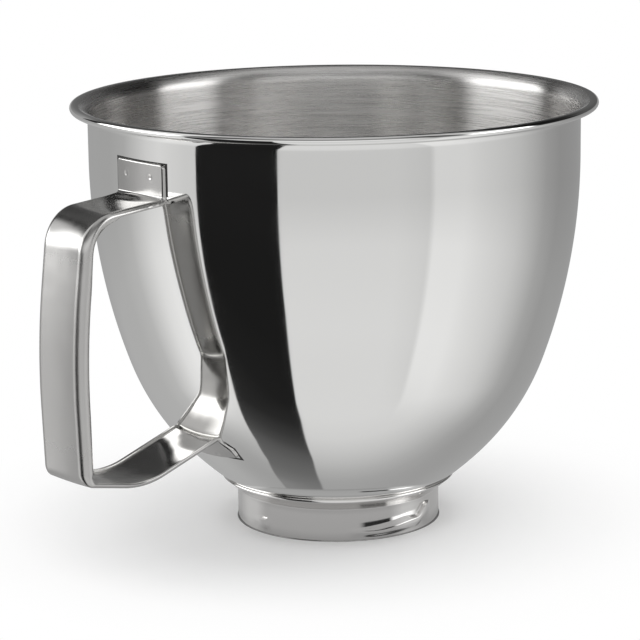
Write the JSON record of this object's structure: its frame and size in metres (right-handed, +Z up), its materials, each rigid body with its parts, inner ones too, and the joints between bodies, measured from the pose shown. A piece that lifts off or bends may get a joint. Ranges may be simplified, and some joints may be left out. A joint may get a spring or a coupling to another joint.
{
  "type": "stand mixer bowl",
  "caption": "Deep round polished stainless bowl for a stand mixer, with a rolled rim, a welded strap handle on one side and a bayonet foot ring",
  "frame": {"origin": "centre of the foot ring, on the plane it stands on", "axes": "+Z up along the bowl's axis; the handle points along -X; +Y completes a right-handed frame"},
  "size_m": [0.2605, 0.222, 0.1814],
  "materials": {
    "polished_steel": "polished",
    "satin_steel": "satin"
  },
  "bodies": {
    "root": {"bowl": "polished_steel", "base_ring": "satin_steel", "handle": "polished_steel"}
  },
  "joints": []
}
